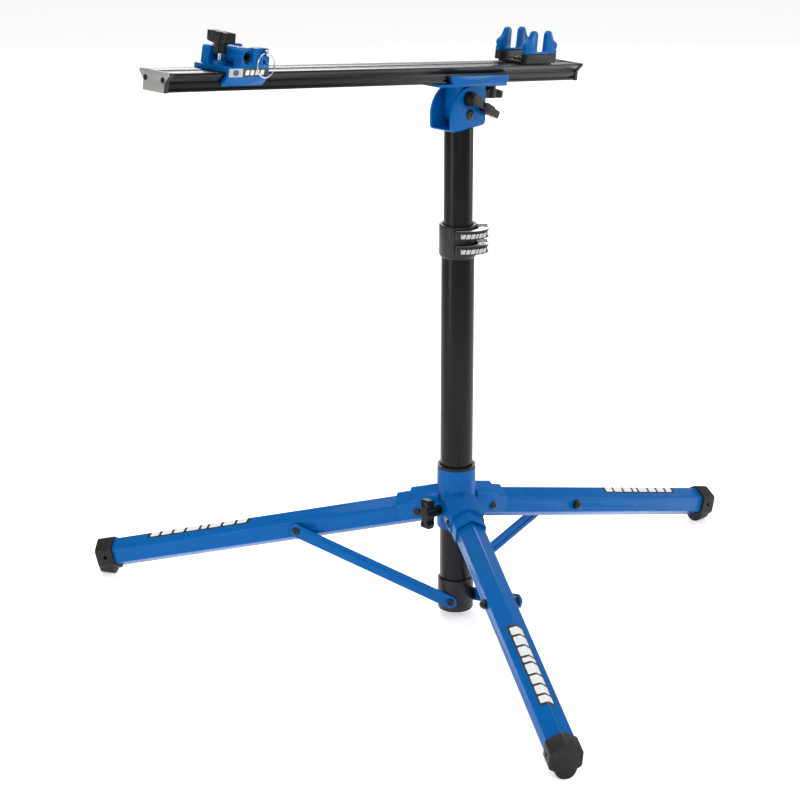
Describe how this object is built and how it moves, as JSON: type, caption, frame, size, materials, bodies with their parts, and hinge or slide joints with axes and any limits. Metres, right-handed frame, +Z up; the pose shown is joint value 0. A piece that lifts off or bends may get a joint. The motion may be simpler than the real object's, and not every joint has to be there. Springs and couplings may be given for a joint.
{
  "type": "bike repair stand",
  "caption": "Folding three-legged bike repair stand with a telescoping mast and a tilting, sliding beam that carries a fork clamp block and a frame cradle.",
  "frame": {"origin": "the mast axis on the floor plane", "axes": "+Z up along the mast, +X level along the beam towards the frame cradle, +Y across the beam to the far side"},
  "size_m": [1.2298, 1.0703, 1.0042],
  "materials": {
    "blue_paint": "gloss",
    "black_anodised": "satin",
    "black_cast": "satin",
    "black_plastic": "matte",
    "rubber": "matte",
    "black_fastener": "satin",
    "bright_steel": "polished",
    "cast_grey": "satin"
  },
  "bodies": {
    "hub": {"hub_casting": "blue_paint", "hub_bushing": "black_plastic", "leg_pivot_bolts": "black_fastener"},
    "hub_knob": {"hub_knob": "black_plastic", "hub_knob_screw": "bright_steel"},
    "mast": {"lower_mast_tube": "black_anodised", "bottom_collar": "black_cast", "collar_bolts": "black_fastener", "quick_release_collar": "black_cast", "clamp_draw_bolts": "bright_steel", "cam_pins": "bright_steel", "mast_bushing": "black_plastic"},
    "upper_release": {"upper_release_lever": "black_cast"},
    "lower_release": {"lower_release_lever": "black_cast"},
    "height_plug": {"upper_tube_plug": "black_plastic"},
    "upper_mast": {"upper_mast_tube": "black_anodised", "head_yoke": "blue_paint", "tilt_pivot_bolt": "black_fastener", "friction_washers": "black_plastic", "head_lock_bolt": "bright_steel"},
    "head_lever": {"head_lock_lever": "black_plastic"},
    "saddle": {"beam_saddle": "blue_paint", "tilt_bushings": "black_plastic", "beam_pressure_pad": "black_plastic"},
    "saddle_knob": {"saddle_knob": "black_plastic", "saddle_knob_screw": "bright_steel"},
    "beam": {"beam_extrusion": "black_anodised", "left_end_cap": "cast_grey", "right_end_cap": "black_cast", "end_cap_screws": "black_fastener"},
    "fork_block": {"fork_clamp_block": "blue_paint", "axle_liner": "black_plastic"},
    "block_knob": {"block_knob": "black_plastic", "block_knob_screw": "bright_steel"},
    "lock_pin": {"lock_pin": "bright_steel"},
    "pull_ring": {"pull_ring": "bright_steel"},
    "cradle": {"cradle_base": "black_plastic", "cradle_forks": "blue_paint", "cradle_screw": "black_fastener", "cradle_slot_nut": "bright_steel"},
    "leg_left": {"leg_tube_left": "blue_paint", "foot_left": "rubber", "leg_stud_left": "black_fastener"},
    "brace_left": {"brace_left": "blue_paint", "brace_bolt_left": "black_fastener"},
    "leg_right": {"leg_tube_right": "blue_paint", "foot_right": "rubber", "leg_stud_right": "black_fastener"},
    "brace_right": {"brace_right": "blue_paint", "brace_bolt_right": "black_fastener"},
    "leg_front": {"leg_tube_front": "blue_paint", "foot_front": "rubber", "leg_stud_front": "black_fastener"},
    "brace_front": {"brace_front": "blue_paint", "brace_bolt_front": "black_fastener"}
  },
  "joints": [
    {"name": "mast_slide", "type": "slide", "parent": "hub", "child": "mast", "axis": [0, 0, -1], "range_m": [0, 0.326]},
    {"name": "leg_fold_left", "type": "hinge", "parent": "hub", "child": "leg_left", "pos_m": [-0.02369, 0.05058, 0.1736], "axis": [-0.9056, -0.4242, 0], "range_deg": [0, 75]},
    {"name": "brace_swing_left", "type": "hinge", "parent": "mast", "child": "brace_left", "pos_m": [-0.02717, -0.01273, 0.0288], "axis": [0.9056, 0.4242, 0], "range_deg": [0, 58.2]},
    {"name": "leg_fold_right", "type": "hinge", "parent": "hub", "child": "leg_right", "pos_m": [0.05565, -0.00477, 0.1736], "axis": [0.0854, 0.9963, 0], "range_deg": [0, 75]},
    {"name": "brace_swing_right", "type": "hinge", "parent": "mast", "child": "brace_right", "pos_m": [0.00256, 0.02989, 0.0288], "axis": [-0.0854, -0.9963, 0], "range_deg": [0, 58.2]},
    {"name": "leg_fold_front", "type": "hinge", "parent": "hub", "child": "leg_front", "pos_m": [-0.03195, -0.0458, 0.1736], "axis": [0.8202, -0.5721, 0], "range_deg": [0, 75]},
    {"name": "brace_swing_front", "type": "hinge", "parent": "mast", "child": "brace_front", "pos_m": [0.0246, -0.01716, 0.0288], "axis": [-0.8202, 0.5721, 0], "range_deg": [0, 58.2]},
    {"name": "hub_knob_turn", "type": "hinge", "parent": "hub", "child": "hub_knob", "pos_m": [-0.04982, 0.00427, 0.184], "axis": [-0.9963, 0.0854, 0], "continuous": true},
    {"name": "upper_release_open", "type": "hinge", "parent": "mast", "child": "upper_release", "pos_m": [0.01472, -0.03773, 0.6283], "axis": [0, 0, 1], "range_deg": [0, 100]},
    {"name": "lower_release_open", "type": "hinge", "parent": "mast", "child": "lower_release", "pos_m": [0.01472, -0.03773, 0.6045], "axis": [0, 0, 1], "range_deg": [0, 100]},
    {"name": "height_slide", "type": "slide", "parent": "mast", "child": "height_plug", "axis": [0, 0, 1], "range_m": [0, 0.3]},
    {"name": "head_swivel", "type": "hinge", "parent": "height_plug", "child": "upper_mast", "pos_m": [0, 0, 0.5], "axis": [0, 0, 1], "continuous": true},
    {"name": "head_tilt", "type": "hinge", "parent": "upper_mast", "child": "saddle", "pos_m": [0, 0, 0.809], "axis": [0, -1, 0], "range_deg": [0, 92]},
    {"name": "head_lever_turn", "type": "hinge", "parent": "upper_mast", "child": "head_lever", "pos_m": [-0.004, -0.03, 0.834], "axis": [0, 1, 0], "range_deg": [-20, 110]},
    {"name": "beam_slide", "type": "slide", "parent": "saddle", "child": "beam", "axis": [0.9906, 0, -0.1368], "range_m": [-0.15, 0.2]},
    {"name": "saddle_knob_turn", "type": "hinge", "parent": "saddle", "child": "saddle_knob", "pos_m": [0.07173, 0, 0.83191], "axis": [0.1368, 0, 0.9906], "continuous": true},
    {"name": "fork_block_slide", "type": "slide", "parent": "beam", "child": "fork_block", "axis": [0.9906, 0, -0.1368], "range_m": [-0.085, 0.16]},
    {"name": "block_knob_turn", "type": "hinge", "parent": "fork_block", "child": "block_knob", "pos_m": [-0.49459, 0, 0.99136], "axis": [0.1368, 0, 0.9906], "continuous": true},
    {"name": "lock_pin_pull", "type": "slide", "parent": "fork_block", "child": "lock_pin", "axis": [0, -1, 0], "range_m": [0, 0.062]},
    {"name": "ring_swing", "type": "hinge", "parent": "lock_pin", "child": "pull_ring", "pos_m": [-0.44321, -0.0354, 0.97013], "axis": [-0.9906, 0, 0.1368], "range_deg": [0, 150]},
    {"name": "cradle_slide", "type": "slide", "parent": "beam", "child": "cradle", "axis": [0.9906, 0, -0.1368], "range_m": [-0.28, 0.055]}
  ],
  "couplings": [
    {"joint": "leg_fold_left", "follows": "mast_slide", "rad_per_m": 4.0096},
    {"joint": "brace_swing_left", "follows": "mast_slide", "rad_per_m": 3.1054},
    {"joint": "leg_fold_right", "follows": "mast_slide", "rad_per_m": 4.0096},
    {"joint": "brace_swing_right", "follows": "mast_slide", "rad_per_m": 3.1054},
    {"joint": "leg_fold_front", "follows": "mast_slide", "rad_per_m": 4.0096},
    {"joint": "brace_swing_front", "follows": "mast_slide", "rad_per_m": 3.1054}
  ]
}
